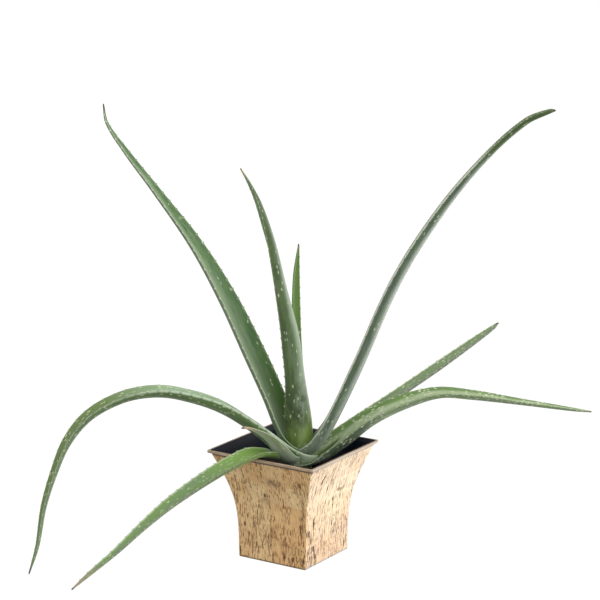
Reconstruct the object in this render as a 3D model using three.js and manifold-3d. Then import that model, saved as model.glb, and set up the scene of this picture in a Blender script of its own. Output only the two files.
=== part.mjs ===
// Potted aloe: a square flared pot with cork cladding, dark liner, soil, and a rosette of nine leaves.
// Millimetres, Z up. The origin is the middle of the pot's underside. The pot's sides lie along X and Y.
import * as THREE from "three";
import { mergeVertices } from "three/addons/utils/BufferGeometryUtils.js";
import Module from "manifold-3d";

const wasm = await Module();
wasm.setup();

// Clearance between pieces that touch, and the distance within which points are one.
const GAP = 0.3;
const MERGE_DISTANCE = 1e-3;

// Pot: half of the outer square at each height, from the foot to the edge of the cladding.
const POT_PROFILE = [
  [0, 41.8], [1, 42.3], [22, 42.5], [36, 43], [48, 43.9], [60, 45.3], [74, 48.3],
  [88, 52.4], [102, 57.4], [114, 62.1], [116, 63],
];
const POT_HEIGHT = 120;
const CORNER_RADIUS = 1.6;
const CORNER_POINTS = 3;
const POT_WALL = 2.8;
const POT_FLOOR = 5;
const GROOVE_DEPTH = 1.1;
const RIM_HALF = 66;
const RIM_HEIGHT = 3;
const RIM_EDGE = 0.5;
// Width of the lip at its foot and at its top, since its inner face leans outwards.
const RIM_FOOT_WIDTH = 4.7;
const RIM_TOP_WIDTH = 1.7;
const LINER_WALL = 1.3;
const LINER_FLOOR = 1.6;
const LINER_EDGE_GAP = 0.45;

// Soil surface.
const SOIL_TOP = 93;
const SOIL_MOUND = 3.5;
const SOIL_MOUND_RADIUS = 34;
const SOIL_CELLS = 18;
// Waves that add up to its lumps: radians a millimetre along X and Y, phase, and height.
const SOIL_WAVES = [
  [0.37, 0.31, 0.9, 0.33], [0.37, -0.31, 1.7, 0.33], [0.83, -0.71, 0, 0.45], [1.37, 1.13, 1.6, 0.33],
];

// Plant axis, which stands a little off the middle of the pot, and the stem.
const PLANT_X = 7;
const PLANT_Y = 4;
const STEM_PROFILE = [[60, 10], [62, 11.5], [96, 11.5], [102, 11], [109, 8], [112, 4]];
const STEM_SIDES = 20;

// Leaf section and margins.
const UNDERSIDE_POINTS = 7;
const FACE_POINTS = 5;
const MARGINS = [0, UNDERSIDE_POINTS];
const FACE_POWER = 0.75;
const SLOPE_STEP = 0.5;
const MARGIN_GROWTH = 2;
const TOOTH_SPACING = 11.5;
const TOOTH_HEIGHT = 2.3;
const TOOTH_LENGTH = 3.2;
const TOOTH_LEAN = 1.3;
const TOOTH_PLACE = 0.3;
const TOOTH_LEAST = 0.45;
const TOOTH_FULL_WIDTH = 22;
// How far a tooth's foot lies from the margin, as a share of the strip beside it.
const TOOTH_FOOT_UNDER = 0.5;
const TOOTH_FOOT_FACE = 0.25;
const TOOTH_POINTS = 5;

// Each leaf rises in a vertical plane at its azimuth, and its section is rolled about its length by the
// first angle at its base and by the second one at its tip. A row is: reach from the plant axis, height,
// width, depth of the section, and hollow of the inner face. Inner leaves come first.
const LEAVES = [
  { name: "leaf_young_centre", azimuth: 165, roll: [0, 0], toothStart: 120, toothSize: 0.6, rows: [
    [0, 112, 10, 6.5, 2], [1, 120, 14, 8, 3], [3, 150, 14, 7.5, 3], [6, 190, 13.5, 7, 3],
    [9, 235, 12, 6, 2.7], [9.5, 270, 10.5, 5, 2.3], [8.5, 305, 8, 3.8, 1.5], [4, 337, 1.4, 1.2, 0.2],
  ] },
  { name: "leaf_upright_front", azimuth: 255, roll: [75, 170], toothStart: 24, toothSize: 1, rows: [
    [-2, 112, 18, 9, 4], [-1.5, 120, 27, 13, 7.5], [-1, 131, 32, 15, 9.5], [0.5, 152, 32, 15, 10],
    [5, 192.5, 26, 13, 8], [12.5, 240.5, 26.5, 13, 8], [26, 290.5, 22.5, 10.5, 6.5],
    [42, 346, 19, 9, 6], [57, 386, 11, 5.5, 3.5], [70, 409, 5.5, 2.7, 1.5], [82, 426, 1.4, 1.2, 0.2],
  ] },
  { name: "leaf_upright_right", azimuth: 25, roll: [0, 0], toothStart: 42, toothSize: 1, rows: [
    [-5, 112, 22, 9, 5], [1.5, 113.5, 28, 12, 8], [9, 117, 30, 14, 9.5], [17, 124, 30, 14, 9],
    [31, 146, 27, 12.5, 8], [60, 209, 26, 12.5, 7.5], [100, 302, 24, 11.5, 6.5],
    [147, 379, 20, 9.5, 5.5], [193, 436, 15, 7, 4.5], [230, 470, 13, 6.5, 4],
    [254, 481, 6.5, 4.5, 1.5], [260, 482, 1.8, 1.4, 0.2],
  ] },
  { name: "leaf_upright_left", azimuth: 185, roll: [0, 0], toothStart: 42, toothSize: 1, rows: [
    [-6, 113, 22, 9, 5], [1, 116.5, 30, 11, 7], [8.2, 120.5, 34, 13, 9], [19, 132.5, 37, 13.5, 9.5],
    [37, 170, 37, 12.5, 9], [60, 213, 37, 12, 8.5], [92, 270, 31, 10.5, 7], [130, 325, 22, 8.5, 5.5],
    [177, 378, 13, 6, 3], [215, 419, 8, 4.5, 2], [238, 448, 3.5, 2.8, 0.6], [242, 469, 1.4, 1.2, 0.2],
  ] },
  { name: "leaf_back_right", azimuth: 68, roll: [0, 0], toothStart: 40, toothSize: 0.9, rows: [
    [4, 102, 18, 10, 5], [14, 107, 28, 12, 8], [31, 114, 23, 9, 5.5], [58, 126, 19, 8, 4.5],
    [91, 140, 17, 7, 4], [126, 154, 16, 6.5, 3.5], [187, 179, 15, 6.5, 3.5], [233, 199, 11, 5.5, 2.5],
    [262, 212, 6, 4, 1], [270, 217, 1.6, 1.3, 0.2],
  ] },
  { name: "leaf_arching_left", azimuth: 235, roll: [0, 0], toothStart: 60, toothSize: 1, rows: [
    [-14, 105, 26, 11, 7], [-6, 105.5, 34, 14, 10], [3, 107, 38, 16, 11.5], [12, 111, 38, 16, 11.5],
    [24, 119.5, 36, 15, 11], [50, 142.5, 29, 12.5, 8], [91, 171, 29, 12, 7.5], [136, 189, 25, 11, 6],
    [167, 194, 23, 10, 6], [200, 190, 21, 9, 5], [233, 175, 18, 8.5, 4.5], [256, 150, 14.5, 7.5, 3.5],
    [270, 120, 12, 6, 3], [282, 85, 8.5, 5, 2], [290, 44, 5.5, 3.5, 1], [300, 15, 1.4, 1.2, 0.2],
  ] },
  { name: "leaf_low_right", azimuth: 43, roll: [5, 5], toothStart: 60, toothSize: 1, rows: [
    [-14, 102.5, 30, 6, 3.5], [-4, 101.8, 38, 6, 4], [5, 103, 40, 7.5, 5], [14, 105.8, 39, 11, 8],
    [24, 111, 38, 15, 11], [42, 121.5, 34, 15, 10], [78, 146, 29, 13, 8], [114, 161, 26, 11, 7],
    [150, 169, 22, 8.5, 6], [187, 165, 18, 8, 4.5], [242, 155, 11.5, 5.5, 2.5], [301, 144, 5, 3.2, 1],
    [320, 141, 1.4, 1.2, 0.2],
  ] },
  { name: "leaf_short_withered", azimuth: 272, roll: [0, 0], toothStart: 52, toothSize: 0.5, rows: [
    [8, 108, 14, 6, 3.5], [18, 109, 19, 7.5, 4.5], [29, 112, 21, 9, 6], [38, 118.5, 20, 9.5, 6.5],
    [48, 128, 18, 9, 6], [61, 140, 14, 6.5, 4], [77, 150.5, 10, 5, 2.5], [92, 158.5, 6.5, 3.5, 1],
    [106, 164.5, 3.5, 2.5, 0.5], [117, 167, 1.6, 1.3, 0.2],
  ] },
  { name: "leaf_drooping_left", azimuth: 260, roll: [0, 0], toothStart: 50, toothSize: 1, rows: [
    [10, 102, 18, 9, 4], [22, 108, 24, 11, 6], [35, 115, 25, 10, 5.5], [47, 120, 25, 9, 5.5],
    [68, 125, 25, 8.5, 5], [89, 123.5, 24, 9, 5], [130, 116, 21, 8.5, 4.5], [188, 100, 16.5, 7, 4],
    [227, 85, 12, 5.5, 2.5], [264, 68, 8, 4.5, 1.5], [302, 53, 5, 3, 1], [324, 44, 1.4, 1.2, 0.2],
  ] },
];

// A closed solid from an indexed list of points and triangles.
function solidFrom(points, triangles) {
  const geometry = new THREE.BufferGeometry().setFromPoints(points);
  geometry.setIndex(triangles.flat());
  return solidOf(geometry);
}

function solidOf(geometry) {
  const bare = geometry.clone();
  bare.deleteAttribute("normal");
  bare.deleteAttribute("uv");
  const merged = mergeVertices(bare, MERGE_DISTANCE);
  const mesh = new wasm.Mesh({
    numProp: 3,
    vertProperties: merged.attributes.position.array,
    triVerts: new Uint32Array(merged.index.array),
  });
  return new wasm.Manifold(mesh);
}

// Joins rings of equally many points into a tube and closes each end with a fan.
function loft(rings) {
  const count = rings[0].length;
  const triangles = [];
  for (let r = 0; r < rings.length - 1; r++) {
    for (let i = 0; i < count; i++) {
      const a = r * count + i;
      const b = r * count + (i + 1) % count;
      triangles.push([a, b, b + count], [a, b + count, a + count]);
    }
  }
  const last = (rings.length - 1) * count;
  const points = [...rings.flat(), centreOf(rings[0]), centreOf(rings[rings.length - 1])];
  for (let i = 0; i < count; i++) {
    const next = (i + 1) % count;
    triangles.push([points.length - 2, next, i], [points.length - 1, last + i, last + next]);
  }
  return solidFrom(points, triangles);
}

function centreOf(ring) {
  const sum = new THREE.Vector3();
  ring.forEach((point) => sum.add(point));
  return sum.divideScalar(ring.length);
}

// A square with rounded corners, seen from above, counterclockwise.
function squareRing(half, z) {
  const ring = [];
  const reach = half - CORNER_RADIUS;
  for (let corner = 0; corner < 4; corner++) {
    const start = corner * Math.PI / 2;
    const x = reach * Math.sign(Math.cos(start + Math.PI / 4));
    const y = reach * Math.sign(Math.sin(start + Math.PI / 4));
    for (let i = 0; i < CORNER_POINTS; i++) {
      const angle = start + (Math.PI / 2) * i / (CORNER_POINTS - 1);
      ring.push(new THREE.Vector3(
        x + CORNER_RADIUS * Math.cos(angle), y + CORNER_RADIUS * Math.sin(angle), z));
    }
  }
  return ring;
}

function circleRing(radius, z, sides) {
  const ring = [];
  for (let i = 0; i < sides; i++) {
    const angle = 2 * Math.PI * i / sides;
    ring.push(new THREE.Vector3(
      PLANT_X + radius * Math.cos(angle), PLANT_Y + radius * Math.sin(angle), z));
  }
  return ring;
}

// Half of the pot's outer square at a height, following the profile.
function potHalf(z) {
  for (let i = 1; i < POT_PROFILE.length; i++) {
    const [z0, h0] = POT_PROFILE[i - 1];
    const [z1, h1] = POT_PROFILE[i];
    if (z <= z1) return h0 + (h1 - h0) * (z - z0) / (z1 - z0);
  }
  const [z0, h0] = POT_PROFILE[POT_PROFILE.length - 2];
  const [z1, h1] = POT_PROFILE[POT_PROFILE.length - 1];
  return h1 + (h1 - h0) * (z - z1) / (z1 - z0);
}

// The pot's outer form drawn in by a distance, from a floor to a top, and any rings above it.
function potForm(inset, floor, top, above = []) {
  const heights = [floor, ...POT_PROFILE.map(([z]) => z).filter((z) => z > floor && z < top), top];
  return loft([...heights.map((z) => squareRing(potHalf(z) - inset, z)), ...above]);
}

const RIM_FOOT = POT_HEIGHT - RIM_HEIGHT;
const BODY_TOP = RIM_FOOT - GAP;
const CLADDING_TOP = POT_PROFILE[POT_PROFILE.length - 1][0];
const OVERSHOOT = 5;

function makePotBody() {
  const cladding = potForm(0, 0, CLADDING_TOP);
  const neck = potForm(GROOVE_DEPTH, POT_FLOOR, BODY_TOP);
  return cladding.add(neck).subtract(potForm(POT_WALL, POT_FLOOR, POT_HEIGHT + OVERSHOOT));
}

function makeRim() {
  const outside = loft([
    squareRing(RIM_HALF - RIM_EDGE, RIM_FOOT),
    squareRing(RIM_HALF, RIM_FOOT + RIM_EDGE),
    squareRing(RIM_HALF, POT_HEIGHT - RIM_EDGE),
    squareRing(RIM_HALF - RIM_EDGE, POT_HEIGHT),
  ]);
  return outside.subtract(loft([
    squareRing(RIM_HALF - RIM_FOOT_WIDTH, RIM_FOOT - OVERSHOOT),
    squareRing(RIM_HALF - RIM_FOOT_WIDTH, RIM_FOOT),
    squareRing(RIM_HALF - RIM_TOP_WIDTH, POT_HEIGHT),
    squareRing(RIM_HALF - RIM_TOP_WIDTH, POT_HEIGHT + OVERSHOOT),
  ]));
}

const LINER_INSET = POT_WALL + GAP;
const LINER_FOOT = POT_FLOOR + GAP;
const SOIL_INSET = LINER_INSET + LINER_WALL + GAP;
const SOIL_FOOT = LINER_FOOT + LINER_FLOOR + GAP;

// A cup that follows the pot's wall, with an edge that flares along the lip's inner face.
function makeLiner() {
  const foot = RIM_HALF - RIM_FOOT_WIDTH - LINER_EDGE_GAP;
  const top = RIM_HALF - RIM_TOP_WIDTH - LINER_EDGE_GAP;
  const step = 0.05;
  const outside = potForm(LINER_INSET, LINER_FOOT, BODY_TOP, [
    squareRing(potHalf(BODY_TOP) - LINER_INSET, RIM_FOOT),
    squareRing(foot, RIM_FOOT + step),
    squareRing(top, POT_HEIGHT - step),
  ]);
  return outside.subtract(potForm(LINER_INSET + LINER_WALL, LINER_FOOT + LINER_FLOOR, BODY_TOP, [
    squareRing(foot - LINER_WALL, RIM_FOOT + GAP),
    squareRing(top - LINER_WALL, POT_HEIGHT - step),
    squareRing(top - LINER_WALL, POT_HEIGHT + OVERSHOOT),
  ]));
}

// Height of the soil: a low mound round the stem, and lumps.
function soilHeight(x, y) {
  const away = Math.hypot(x - PLANT_X, y - PLANT_Y) / SOIL_MOUND_RADIUS;
  const mound = SOIL_MOUND * Math.exp(-away * away);
  return SOIL_WAVES.reduce((height, [a, b, phase, size]) =>
    height + size * Math.sin(a * x + b * y + phase), SOIL_TOP + mound);
}

function makeSoil() {
  const size = 2 * RIM_HALF;
  const block = new THREE.BoxGeometry(size, size, SOIL_TOP, SOIL_CELLS, SOIL_CELLS, 1);
  const position = block.attributes.position;
  for (let i = 0; i < position.count; i++) {
    const x = position.getX(i);
    const y = position.getY(i);
    position.setZ(i, position.getZ(i) > 0 ? soilHeight(x, y) : SOIL_FOOT - OVERSHOOT);
  }
  const hole = loft([
    circleRing(STEM_PROFILE[1][1] + GAP, STEM_PROFILE[0][0] - GAP, STEM_SIDES),
    circleRing(STEM_PROFILE[1][1] + GAP, POT_HEIGHT, STEM_SIDES),
  ]);
  const filling = potForm(SOIL_INSET, SOIL_FOOT, POT_HEIGHT);
  return filling.intersect(solidOf(block)).subtract(hole);
}

function stemForm(grow) {
  return loft(STEM_PROFILE.map(([z, radius], i) =>
    circleRing(radius + grow, i === STEM_PROFILE.length - 1 ? z + grow : z, STEM_SIDES)));
}

// Distances between the stations of a leaf, added up from its base.
function stationMarks(rows) {
  const marks = [0];
  for (let i = 1; i < rows.length; i++) {
    marks.push(marks[i - 1] + Math.hypot(rows[i][0] - rows[i - 1][0], rows[i][1] - rows[i - 1][1]));
  }
  return marks;
}

// Every column of the rows at a distance along the leaf, on a smooth curve through the stations.
function rowAt(rows, marks, distance) {
  let i = 0;
  while (i < marks.length - 2 && distance > marks[i + 1]) i++;
  const span = marks[i + 1] - marks[i];
  const t = (distance - marks[i]) / span;
  const slope = (k, column) => {
    const before = Math.max(k - 1, 0);
    const after = Math.min(k + 1, rows.length - 1);
    return (rows[after][column] - rows[before][column]) / (marks[after] - marks[before]);
  };
  return rows[i].map((value, column) => {
    const next = rows[i + 1][column];
    const startSlope = slope(i, column) * span;
    const endSlope = slope(i + 1, column) * span;
    return value * (1 + 2 * t) * (1 - t) ** 2 + startSlope * t * (1 - t) ** 2 +
      next * t * t * (3 - 2 * t) - endSlope * t * t * (1 - t);
  });
}

// Place of a leaf's section: its middle, the directions along, across and out of the inner face, and
// its sizes.
function leafFrame(leaf, marks, distance) {
  const length = marks[marks.length - 1];
  const here = rowAt(leaf.rows, marks, distance);
  const before = rowAt(leaf.rows, marks, Math.max(distance - SLOPE_STEP, 0));
  const after = rowAt(leaf.rows, marks, Math.min(distance + SLOPE_STEP, length));
  const azimuth = THREE.MathUtils.degToRad(leaf.azimuth);
  const outward = new THREE.Vector3(Math.cos(azimuth), Math.sin(azimuth), 0);
  const up = new THREE.Vector3(0, 0, 1);
  const roll = THREE.MathUtils.lerp(leaf.roll[0], leaf.roll[1], distance / length);
  const along = outward.clone().multiplyScalar(after[0] - before[0])
    .addScaledVector(up, after[1] - before[1]).normalize();
  const across = new THREE.Vector3(-Math.sin(azimuth), Math.cos(azimuth), 0)
    .applyAxisAngle(along, THREE.MathUtils.degToRad(roll));
  const face = along.clone().cross(across);
  const middle = new THREE.Vector3(PLANT_X, PLANT_Y, here[1]).addScaledVector(outward, here[0]);
  return { middle, along, across, face, width: here[2], depth: here[3], hollow: here[4] };
}

// Outline of a leaf across its length, as across and face distances: the underside from one margin to the
// other, then back over the hollow inner face.
function leafOutline(frame) {
  const outline = [];
  const put = (u, v) => outline.push([u * frame.width / 2, v + frame.depth / 2]);
  for (let i = 0; i < UNDERSIDE_POINTS; i++) {
    const angle = Math.PI * i / UNDERSIDE_POINTS;
    put(-Math.cos(angle), -frame.depth * Math.sin(angle));
  }
  for (let i = 0; i < FACE_POINTS; i++) {
    const u = 1 - 2 * i / FACE_POINTS;
    put(u, -frame.hollow * (1 - u * u) ** FACE_POWER);
  }
  return outline;
}

// Pushes every corner of an outline outwards, and the two sharp margins further than the rest.
function growOutline(outline, grow) {
  return outline.map(([x, y], i) => {
    const [x0, y0] = outline[(i + outline.length - 1) % outline.length];
    const [x1, y1] = outline[(i + 1) % outline.length];
    const reach = (MARGINS.includes(i) ? MARGIN_GROWTH : 1) * grow / Math.hypot(x1 - x0, y1 - y0);
    return [x + (y1 - y0) * reach, y - (x1 - x0) * reach];
  });
}

function leafRing(frame, grow) {
  return growOutline(leafOutline(frame), grow).map(([x, y]) =>
    frame.middle.clone().addScaledVector(frame.across, x).addScaledVector(frame.face, y));
}

// Root, point and far root of the tooth on a margin between two rings, then its foot on the strip before
// the margin and on the one after it. The point leans towards the leaf's tip.
function toothPoints(leaf, frame, ring, nextRing, margin, grow) {
  const between = (i, share) => ring.at(i).clone().lerp(nextRing.at(i), share);
  const side = margin ? 1 : -1;
  const size = leaf.toothSize * Math.min(1, TOOTH_LEAST + frame.width / TOOTH_FULL_WIDTH);
  const half = size * TOOTH_LENGTH / 2 / ring[margin].distanceTo(nextRing[margin]);
  const place = side > 0 ? TOOTH_PLACE : 1 - TOOTH_PLACE;
  const middle = between(margin, place);
  const point = middle.clone().addScaledVector(frame.along, size * TOOTH_LEAN)
    .addScaledVector(frame.across, side * (size * TOOTH_HEIGHT + grow));
  const [before, after] = side > 0 ?
    [TOOTH_FOOT_UNDER, TOOTH_FOOT_FACE] : [TOOTH_FOOT_FACE, TOOTH_FOOT_UNDER];
  return [
    between(margin, place - half), point, between(margin, place + half),
    middle.clone().lerp(between(margin - 1, place), before),
    middle.clone().lerp(between(margin + 1, place), after),
  ];
}

// The faces between two rings. A tooth stands on its margin as a pyramid on four points.
function stripFaces(start, count, firstTooth) {
  const faces = [];
  for (let i = 0; i < count; i++) {
    const next = (i + 1) % count;
    const [a, b] = [start + i, start + next];
    const [c, d] = [b + count, a + count];
    if (firstTooth !== null && MARGINS.includes(i)) {
      const t = firstTooth + TOOTH_POINTS * MARGINS.indexOf(i);
      faces.push([a, b, t], [b, t + 4, t], [b, c, t + 4], [c, t + 2, t + 4], [c, d, t + 2]);
      faces.push([t, t + 4, t + 1], [t + 4, t + 2, t + 1]);
    } else if (firstTooth !== null && MARGINS.includes(next)) {
      const t = firstTooth + TOOTH_POINTS * MARGINS.indexOf(next);
      faces.push([a, b, t], [a, t, t + 3], [a, t + 3, d], [t + 3, t + 2, d], [t + 2, c, d]);
      faces.push([t, t + 1, t + 3], [t + 1, t + 2, t + 3]);
    } else {
      faces.push([a, b, c], [a, c, d]);
    }
  }
  return faces;
}

// The faces that close a leaf's end. They stay within its hollow outline.
function endFaces(frame, grow, start, isTip) {
  const outline = growOutline(leafOutline(frame), grow).map(([x, y]) => new THREE.Vector2(x, y));
  return THREE.ShapeUtils.triangulateShape(outline, []).map((face) => {
    const corners = face.map((corner) => start + corner);
    return isTip ? corners : corners.reverse();
  });
}

// A leaf with its marginal teeth, one on each margin between every two rings.
function leafBlade(leaf, grow) {
  const marks = stationMarks(leaf.rows);
  const length = marks[marks.length - 1];
  const steps = Math.round(length / TOOTH_SPACING);
  const frames = [];
  for (let r = 0; r <= steps; r++) frames.push(leafFrame(leaf, marks, length * r / steps));
  frames[0].middle.addScaledVector(frames[0].along, -grow);
  frames[steps].middle.addScaledVector(frames[steps].along, grow);
  const rings = frames.map((frame) => leafRing(frame, grow));
  const count = rings[0].length;
  const teeth = [];
  const triangles = [];
  for (let r = 0; r < steps; r++) {
    const toothed = length * r / steps >= leaf.toothStart && r < steps - 1;
    const firstTooth = toothed ? rings.length * count + teeth.length : null;
    triangles.push(...stripFaces(r * count, count, firstTooth));
    if (!toothed) continue;
    MARGINS.forEach((margin) => {
      teeth.push(...toothPoints(leaf, frames[r], rings[r], rings[r + 1], margin, grow));
    });
  }
  triangles.push(...endFaces(frames[0], grow, 0, false));
  triangles.push(...endFaces(frames[steps], grow, steps * count, true));
  return solidFrom([...rings.flat(), ...teeth], triangles);
}

function largestBody(solid) {
  return solid.decompose().sort((a, b) => b.volume() - a.volume())[0];
}

const root = new THREE.Group();

function addPiece(name, solid, colour, roughness) {
  const made = solid.getMesh();
  const geometry = new THREE.BufferGeometry();
  geometry.setAttribute("position", new THREE.BufferAttribute(new Float32Array(made.vertProperties), 3));
  geometry.setIndex(new THREE.BufferAttribute(new Uint32Array(made.triVerts), 1));
  const material = new THREE.MeshStandardMaterial({ color: colour, roughness, metalness: 0 });
  const mesh = new THREE.Mesh(geometry, material);
  mesh.name = name;
  root.add(mesh);
}

addPiece("pot_body", makePotBody(), 0xc9a877, 0.85);
addPiece("pot_rim", makeRim(), 0xc9a48c, 0.45);
addPiece("pot_liner", makeLiner(), 0x23272b, 0.5);
addPiece("soil", makeSoil(), 0x3a2c20, 0.95);
addPiece("stem", stemForm(0), 0x8f9a6a, 0.6);

// Each outer leaf gives way to the stem and to the leaves inside it.
const blades = LEAVES.map((leaf) => leafBlade(leaf, 0));
const grown = LEAVES.map((leaf, index) => leafBlade(leaf, GAP).add(blades[index]));
LEAVES.forEach((leaf, index) => {
  const inside = wasm.Manifold.union([stemForm(GAP), ...grown.slice(0, index)]);
  addPiece(leaf.name, largestBody(blades[index].subtract(inside)), 0x6f8f5e, 0.5);
});

export default root;
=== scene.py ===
# %% [markdown]
# A potted aloe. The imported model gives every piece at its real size: a square flared pot, its lip, a
# liner, the soil, a short stem and nine leaves. This lesson replaces those plain solids with finer
# meshes of the same form and gives each one the finish of the real thing. Nothing moves: the plant
# stands in its pot, so every piece rides on one body.

# %% Load the frame
import math
from functools import partial

import bmesh
import bpy
import numpy as np
from mathutils import Matrix, Vector


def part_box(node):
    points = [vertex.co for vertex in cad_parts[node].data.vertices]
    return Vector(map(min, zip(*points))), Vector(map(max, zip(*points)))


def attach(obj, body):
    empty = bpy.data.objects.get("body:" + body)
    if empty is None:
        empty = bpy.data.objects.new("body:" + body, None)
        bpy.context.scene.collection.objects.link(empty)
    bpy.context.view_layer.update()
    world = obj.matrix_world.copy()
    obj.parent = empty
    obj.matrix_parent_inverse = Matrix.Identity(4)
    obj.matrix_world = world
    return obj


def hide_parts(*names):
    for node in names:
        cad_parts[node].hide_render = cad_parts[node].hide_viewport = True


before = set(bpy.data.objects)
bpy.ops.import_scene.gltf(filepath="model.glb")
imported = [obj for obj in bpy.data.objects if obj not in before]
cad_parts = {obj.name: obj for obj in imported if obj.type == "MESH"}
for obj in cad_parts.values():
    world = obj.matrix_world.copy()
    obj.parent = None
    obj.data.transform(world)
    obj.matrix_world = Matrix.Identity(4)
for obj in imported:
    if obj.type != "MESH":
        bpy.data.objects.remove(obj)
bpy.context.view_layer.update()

MM = 0.001
BODY = "root"

stem_low, stem_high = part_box("stem")
AXIS_X = (stem_low.x + stem_high.x) / 2 / MM
AXIS_Y = (stem_low.y + stem_high.y) / 2 / MM
print("plant axis, mm:", round(AXIS_X, 1), round(AXIS_Y, 1))

# %% [markdown]
# The camera stands where the photographer stood: a long lens, a little above the lip of the pot, with
# a corner of the pot towards it. The pot's four lip corners and its foot give that place. A long lens
# keeps the pot's sides nearly parallel, as they are in a product photograph.

# %% Camera
VIEW_AZIMUTH = math.radians(33.15)
VIEW_ELEVATION = math.radians(12.65)
CAMERA_DISTANCE = 2363
AIM_RIGHT = 6.9
AIM_UP = 270.8

scene = bpy.context.scene
back = Vector((
    math.sin(VIEW_AZIMUTH) * math.cos(VIEW_ELEVATION),
    -math.cos(VIEW_AZIMUTH) * math.cos(VIEW_ELEVATION),
    math.sin(VIEW_ELEVATION),
))
right = Vector((math.cos(VIEW_AZIMUTH), math.sin(VIEW_AZIMUTH), 0))
up = back.cross(right)
camera_data = bpy.data.cameras.new("camera")
camera_data.lens = 132
camera_data.sensor_width = 36
camera = bpy.data.objects.new("camera", camera_data)
camera.matrix_world = Matrix((right, up, back)).transposed().to_4x4()
camera.location = (right * AIM_RIGHT + up * AIM_UP + back * CAMERA_DISTANCE) * MM
scene.collection.objects.link(camera)
scene.camera = camera
print("camera height, mm:", round(camera.location.z / MM))

# %% [markdown]
# Colours are written as the hex values a painter would pick on a screen. A renderer adds up light, so
# one function turns each value into linear light. A second function adds any shader node and hands back
# one of its outputs. What goes into the node is named, or a list in the order of its sockets. Each may
# be a number, a hex colour, the output of another node, or a ramp of (value, start, end, low, high),
# which is low where its value is at the start and high where it is at the end. A third function works
# as a painter does: it lays coats over a ground colour. A coat is its colour and then the masks that,
# multiplied, say where it lies. The Mix node has sockets of one name for numbers and for colours, so
# those for colours go by their place. A last function gives the colour fine relief, which only bends
# the light, and the rest of its surface.

# %% Colour and node helpers
MIX_FACTOR, MIX_A, MIX_B, MIX_COLOUR = 0, 6, 7, 2
RAMP = ("Value", "From Min", "From Max", "To Min", "To Max")


def linear(hex_colour):
    values = [int(hex_colour[i:i + 2], 16) / 255 for i in (1, 3, 5)]
    return [v / 12.92 if v <= 0.04045 else ((v + 0.055) / 1.055) ** 2.4 for v in values] + [1.0]


def add_node(tree, kind, inputs=(), out=0, **settings):
    made = tree.nodes.new("ShaderNode" + kind)
    for name, value in settings.items():
        setattr(made, name, value)
    for name, value in inputs.items() if isinstance(inputs, dict) else enumerate(inputs):
        if isinstance(value, tuple) and len(value) == len(RAMP):
            value = add_node(tree, "MapRange", dict(zip(RAMP, value)))
        if isinstance(value, bpy.types.NodeSocket):
            tree.links.new(value, made.inputs[name])
        else:
            made.inputs[name].default_value = linear(value) if isinstance(value, str) else value
    return made.outputs[out] if made.outputs else None


def new_material(name):
    material = bpy.data.materials.new(name)
    material.use_nodes = True
    material.node_tree.nodes.clear()
    return material, partial(add_node, material.node_tree)


def coated(add, colour, coats):
    for coat, cover, *masks in coats:
        for mask in masks:
            cover = add("Math", [cover, mask], operation="MULTIPLY")
        colour = add("Mix", {MIX_FACTOR: cover, MIX_A: colour, MIX_B: coat}, MIX_COLOUR, data_type="RGBA")
    return colour


def surfaced(add, colour, values, relief, strength, depth):
    """A surface of a colour, with relief of a depth in millimetres, as what the material puts out."""
    normal = add("Bump", {"Height": relief, "Strength": strength, "Distance": depth * MM}, "Normal")
    surface = add("BsdfPrincipled", {"Base Color": colour, "Normal": normal, **values})
    add("OutputMaterial", {"Surface": surface})


# %% [markdown]
# The object stood on a white sweep under big soft boxes. A dome of light does the same: its brightness
# changes slowly with direction. Each lobe below is one soft source: the key from the right, the sweep
# behind on the right, which lays a pale veil on every waxy or varnished surface that faces that way,
# and a fill from the front. A camera that looks straight at the dome sees plain white, as on the sweep.

# %% Dome of light
scene.view_settings.view_transform = "Standard"
DOME_BASE = 0.34
DOME_TOP = 0.5
LOBES = [
    ((0.85, -0.1, 0.5), 0.97, 3.0),
    ((0.38, 0.85, -0.36), 3.3, 9.0),
    ((-0.25, -0.9, 0.35), 0.55, 2.0),
]

world = bpy.data.worlds.new("studio")
scene.world = world
world.use_nodes = True
world.node_tree.nodes.clear()
add = partial(add_node, world.node_tree)
direction = add("TexCoord", out="Generated")
facing_up = add("SeparateXYZ", [direction], "Z")
brightness = add("Math", [(facing_up, -0.3, 1, 0, 1), DOME_TOP, DOME_BASE], operation="MULTIPLY_ADD")
for towards, strength, sharpness in LOBES:
    facing = add("VectorMath", [direction, Vector(towards).normalized()], "Value",
                 operation="DOT_PRODUCT")
    facing = add("Math", [facing, 0.0], operation="MAXIMUM")
    facing = add("Math", [facing, sharpness], operation="POWER")
    brightness = add("Math", [facing, strength, brightness], operation="MULTIPLY_ADD")
dome = add("Background", {"Color": "#fffefb", "Strength": brightness})
sweep = add("Background", {"Color": (1, 1, 1, 1), "Strength": 1.0})
seen = add("LightPath", out="Is Camera Ray")
add("OutputWorld", {"Surface": add("MixShader", [seen, dome, sweep])})

# %% Soft box
PLANT_MIDDLE = Vector((0, 0, 0.2))
BOX_PLACE = Vector((2.1, -0.3, 1.5))
BOX_SIZE = 1.4
BOX_POWER = 12

light = bpy.data.lights.new("soft_box_right", "AREA")
light.shape = "RECTANGLE"
light.size = BOX_SIZE
light.size_y = BOX_SIZE
light.energy = BOX_POWER
soft_box = bpy.data.objects.new("soft_box_right", light)
soft_box.location = BOX_PLACE
soft_box.rotation_euler = (PLANT_MIDDLE - BOX_PLACE).to_track_quat("-Z", "Y").to_euler()
scene.collection.objects.link(soft_box)

# %% [markdown]
# The floor is the sweep itself. It glows so that it stays as white as the photograph's, and it takes
# only a trace of shadow where the pot stands on it. It casts no shadow and is hidden from bounced light,
# because the lower half of the dome stands for the light that a white sweep throws back.

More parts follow.
